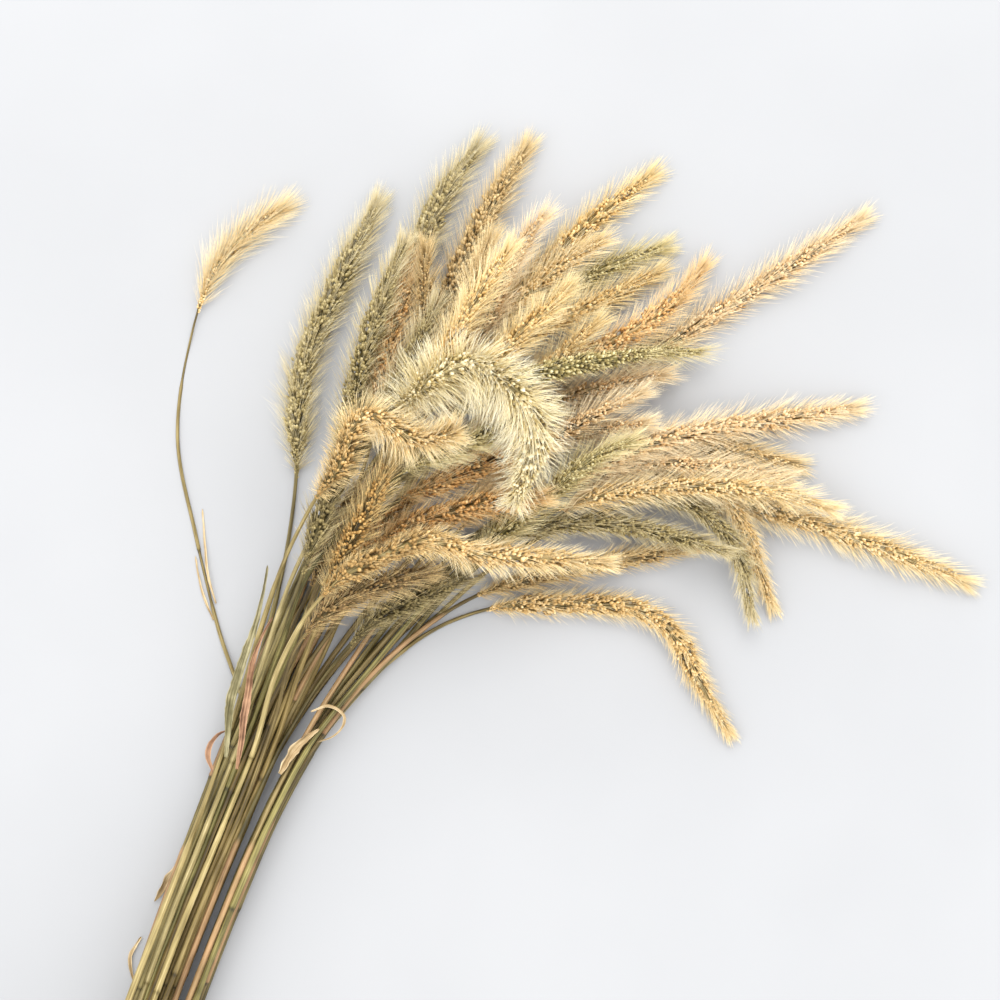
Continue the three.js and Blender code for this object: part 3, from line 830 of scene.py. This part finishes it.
def make_bristles(stalk, branches, rng):
    """Fine hairs that stand out all round the head, in the tufts of its branches."""
    course, look = stalk.course, stalk.look
    branch = bristle_branches(stalk, branches, rng)
    count = len(branch)

    def scattered(mean, of_branch, of_bristle):
        """Random numbers whose scatter is partly shared by the bristles of a branch."""
        shared = rng.normal(mean, of_branch, len(branches.s))[branch]
        return shared + rng.normal(0, of_bristle, count)

    s = branches.s[branch] + rng.normal(0, BRISTLE_SCATTER, count)
    in_tuft = rng.random(count) < TUFT_SHARE
    s = np.where(in_tuft, course.length - rng.uniform(0, TUFT_LENGTH_MM, count) * MM, s)
    s = np.clip(s, stalk.head_start + 0.5 * MM, course.length)
    share = stalk.head_share(s)
    girth = course.radius_at(s) * branches.swell[branch]
    turn = branches.turn[branch] + rng.normal(0, BRISTLE_TURN_SCATTER, count)
    turn = np.where(in_tuft, rng.uniform(0, 2 * np.pi, count), turn)
    place, forward, side, up = course.at(s)
    out, beside = around(side, up, turn)

    lean = scattered(look["spread"], *BRISTLE_LEAN_SCATTER)
    lean = lean * np.interp(share, [0, 0.08, 0.7, 1], [1.2, 1.0, 0.95, look["tip"]])
    lean = np.radians(np.clip(lean, 4, 86))[:, None]
    sway = scattered(0, *BRISTLE_SWAY_SCATTER)[:, None]
    axis = unit(forward * np.cos(lean) + out * np.sin(lean) + beside * sway)
    length = look["length_mm"] * MM * rng.uniform(*BRISTLE_LENGTHS, count)
    length = length * np.interp(share, [0, 0.12, 0.85, 1], [0.7, 1.0, 0.95, 0.8])
    length = length * (1 - 0.7 * (stalk.painted_shade_at(share) - look["painted_shade"]))
    length = length * (1 - 0.5 * look["bare"] * np.interp(share, [0.68, 0.95], [0, 1]))
    bend = forward * rng.normal(*BRISTLE_BEND, (count, 1))
    bend = bend + beside * rng.normal(*BRISTLE_SIDE_BEND, (count, 1))
    droop = look["droop"] * np.interp(share, [0, 0.6, 0.9], [1, 1, 0])
    bend = bend + droop[:, None] * TOWARDS_STEMS

    root = place + out * np.maximum(girth - BRISTLE_DEPTH, 0)[:, None]
    t = np.append(BRISTLE_RINGS, 1.0)[None, :, None]
    spine = root[:, None] + (axis[:, None] * t + bend[:, None] * t**2) * length[:, None, None]
    spine = pressed_on_floor(spine)
    across = unit(np.cross(axis, out + 0.01))  # the 0.01 keeps the product from being nought
    thick = np.cross(across, axis)
    corner = BRISTLE_CORNERS[None, :, None]
    ring = across[:, None] * np.cos(corner) + thick[:, None] * np.sin(corner)
    width = look["radius_mm"] * MM * rng.uniform(*BRISTLE_WIDTHS, count)[:, None]
    width = width * BRISTLE_THICKNESS[None]
    skin = spine[:, :3, None] + ring[:, None] * width[..., None, None]
    points = np.concatenate([skin.reshape(count, 9, 3), spine[:, 3:]], axis=1)

    # Each bristle has a random tone, darkened with its head's painted shade.
    tone_and_painted_shade = scattered(BRISTLE_SHADE, *BRISTLE_SHADE_SCATTER) - stalk.painted_shade_at(share)
    along = np.append(np.repeat(BRISTLE_RINGS, 3), 1.0)
    attributes = {
        "tone_and_painted_shade": np.repeat(tone_and_painted_shade, BRISTLE_POINTS),
        "along": np.tile(along, count),
    }
    faces = [copies(BRISTLE_POINTS, part, count) for part in BRISTLE_FACES]
    maps = strand_maps(faces, tone_and_painted_shade, along, BRISTLE_POINTS)
    new_piece(f"{stalk.name}_bristles", above_floor(points.reshape(-1, 3)), faces, maps,
              bristle_material(stalk.tone), attributes, stalk.name)


# ---- Leaves ----

LEAF_STEP = 1.2 * MM
LEAF_POINTS_ACROSS = 9
LEAF_THICKNESS = 0.2 * MM
LEAF_WIDENING = 1.15  # the CAD ring is a hexagon, so its farthest corners fall short of the blade
LEAF_END_SHARE = 0.3  # how wide the tip is, as a share of the ring before it
LEAF_GRAIN_STRETCH = 0.03


def wave(share, radians, rng):
    """A sine along the leaf, this many radians long, that starts anywhere."""
    return np.sin(share * radians + rng.uniform(0, 6))


def ragged_edge(share, rng):
    """How wide one half of a blade is along it, as a share of its plain width."""
    return 1 + 0.10 * wave(share, 21, rng) + 0.07 * rng.normal(0, 1, len(share))


def make_leaf(name, course, tone, rng):
    """A dry leaf: a thin closed blade, folded along its middle, uneven at its edges and tip."""
    count = max(8, int(course.length / LEAF_STEP))
    s = np.linspace(0, course.length, count)
    share = s / course.length
    place, _, side, up = course.at(s)
    half = course.radius_at(s) * LEAF_WIDENING
    half[-1] = half[-2] * LEAF_END_SHARE
    twist = rng.uniform(-0.6, 0.6) * share + 0.2 * wave(share, 7, rng)
    side, up = around(side, up, twist)

    x = np.linspace(-1, 1, LEAF_POINTS_ACROSS)
    left, right = ragged_edge(share, rng), ragged_edge(share, rng)
    breadth = half[:, None] * np.where(x[None] < 0, left[:, None], right[:, None]) * x[None]
    fold = 0.6 * np.abs(x) ** 1.2 - 0.25 + 0.05 * np.sin(x * 12)
    curl = 1 + 0.5 * wave(share, 9, rng)
    middle = (
        place[:, None]
        + side[:, None] * breadth[..., None]
        + up[:, None] * ((half * curl)[:, None] * fold[None])[..., None]
    )
    thickness = np.minimum(LEAF_THICKNESS, half * 0.5)
    thinning = 1 - 0.7 * np.abs(x) ** 3
    shift = up[:, None] * (0.5 * thickness[:, None] * thinning[None])[..., None]
    loop = np.concatenate([middle + shift, (middle - shift)[:, ::-1]], axis=1)
    ends = [loop[0].mean(0), loop[-1].mean(0)]
    points = above_floor(np.concatenate([loop.reshape(-1, 3), ends]))

    sides = 2 * LEAF_POINTS_ACROSS
    faces, maps = tube(count, sides)
    faces, maps = [part[:, ::-1] for part in faces], [part[:, ::-1] for part in maps]
    across = np.concatenate([x, x[::-1]])
    grain = np.stack(np.broadcast_arrays(
        half[:, None] * across[None],
        np.zeros((count, sides)),
        (s * LEAF_GRAIN_STRETCH)[:, None],
    ), axis=2)
    attributes = {
        "grain": np.concatenate([grain.reshape(-1, 3), np.zeros((2, 3))]) + rng.uniform(0, 1, 3),
        "edge": np.concatenate([np.tile(across**4, count), [0, 0]]),
    }
    new_piece(f"{name}_blade", points, faces, maps, leaf_material(tone), attributes, name)


# ---- The bunch ----

FIRST_SEED = 7000
STALK_COURSE_STEP = 1.0 * MM
LEAF_COURSE_STEP = 0.5 * MM


def make_stalk(name, centres, radii, tone, rng):
    course = Course(centres, radii, STALK_COURSE_STEP)
    neck = int(np.argmin(radii[:-2]))  # the thinnest ring but the tip's, where the head begins
    stalk = Stalk(name, tone, HEADS.get(name, PLAIN_HEAD), course, course.knots[neck])
    make_culm(stalk, rng)
    branches = head_branches(stalk, rng)
    make_spikelets(stalk, branches, rng)
    make_bristles(stalk, branches, rng)


subparts = sorted(frame["record"]["subparts"], key=lambda part: part["node"])
for index, part in enumerate(subparts):
    name, tone = part["node"], part["material_slot"]
    rng = np.random.default_rng(FIRST_SEED + index)
    centres, radii = solid_rings(frame["nodes"][name])
    if "leaf" in TONES[tone]:
        make_leaf(name, Course(centres, radii, LEAF_COURSE_STEP), tone, rng)
    else:
        make_stalk(name, centres, radii, tone, rng)


# ---- Surface, light and camera ----

FLOOR_REACH = 6.0
WORLD_COLOUR = (1.0, 0.985, 0.96, 1.0)
WORLD_STRENGTH = 1.66
LAMP_SIZE = 1.6
MIDDLE_TO_HEADS = (0.03, 0.1, 0)

# The camera looks straight down at the heads, with the stems running out of its lower edge.
VIEW_SHARE = (0.5126, 0.7196)  # the middle of the view, as a share of the box's width and length
VIEW_WIDTH = 0.350
VIEW_HEIGHT = 0.028  # the height at which the view is this wide
LENS_MM = 100.0
SENSOR_MM = 36.0


def make_floor():
    mesh = bpy.data.meshes.new("floor")
    reach = FLOOR_REACH
    corners = [(-reach, -reach, 0), (reach, -reach, 0), (reach, reach, 0), (-reach, reach, 0)]
    mesh.from_pydata(corners, [], [(0, 1, 2, 3)])
    mesh.materials.append(floor_material())
    floor = bpy.data.objects.new("floor", mesh)
    bpy.context.scene.collection.objects.link(floor)
    floor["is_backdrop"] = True


def make_world():
    world = bpy.data.worlds.new("studio")
    world.use_nodes = True
    background = world.node_tree.nodes["Background"]
    background.inputs["Color"].default_value = WORLD_COLOUR
    background.inputs["Strength"].default_value = WORLD_STRENGTH
    bpy.context.scene.world = world


def make_lamp(name, target, offset, power, colour):
    """A soft round light, at this offset from the target that it faces."""
    light = bpy.data.lights.new(name, "AREA")
    light.shape = "DISK"
    light.size = LAMP_SIZE
    light.energy = power
    light.color = colour
    lamp = bpy.data.objects.new(name, light)
    lamp.location = target + Vector(offset)
    lamp.rotation_euler = (target - lamp.location).to_track_quat("-Z", "Y").to_euler()
    bpy.context.scene.collection.objects.link(lamp)


def make_camera():
    camera = bpy.data.cameras.new("camera")
    camera.lens = LENS_MM
    camera.sensor_width = SENSOR_MM
    camera.clip_end = 20.0
    aim = cad_low[:2] + (cad_high - cad_low)[:2] * VIEW_SHARE
    eye = bpy.data.objects.new("camera", camera)
    eye.location = (aim[0], aim[1], VIEW_HEIGHT + VIEW_WIDTH * LENS_MM / SENSOR_MM)
    bpy.context.scene.collection.objects.link(eye)
    bpy.context.scene.camera = eye


make_floor()
make_world()
heads = Vector(((cad_low + cad_high) / 2 + MIDDLE_TO_HEADS).tolist())
make_lamp("key", heads, offset=(0.1, 1.2, 1.8), power=30.0, colour=(1.0, 0.985, 0.955))
make_lamp("fill", heads, offset=(-1.1, -0.4, 1.6), power=8.0, colour=(1.0, 0.99, 0.97))
make_camera()
bpy.context.scene.view_settings.view_transform = "Standard"
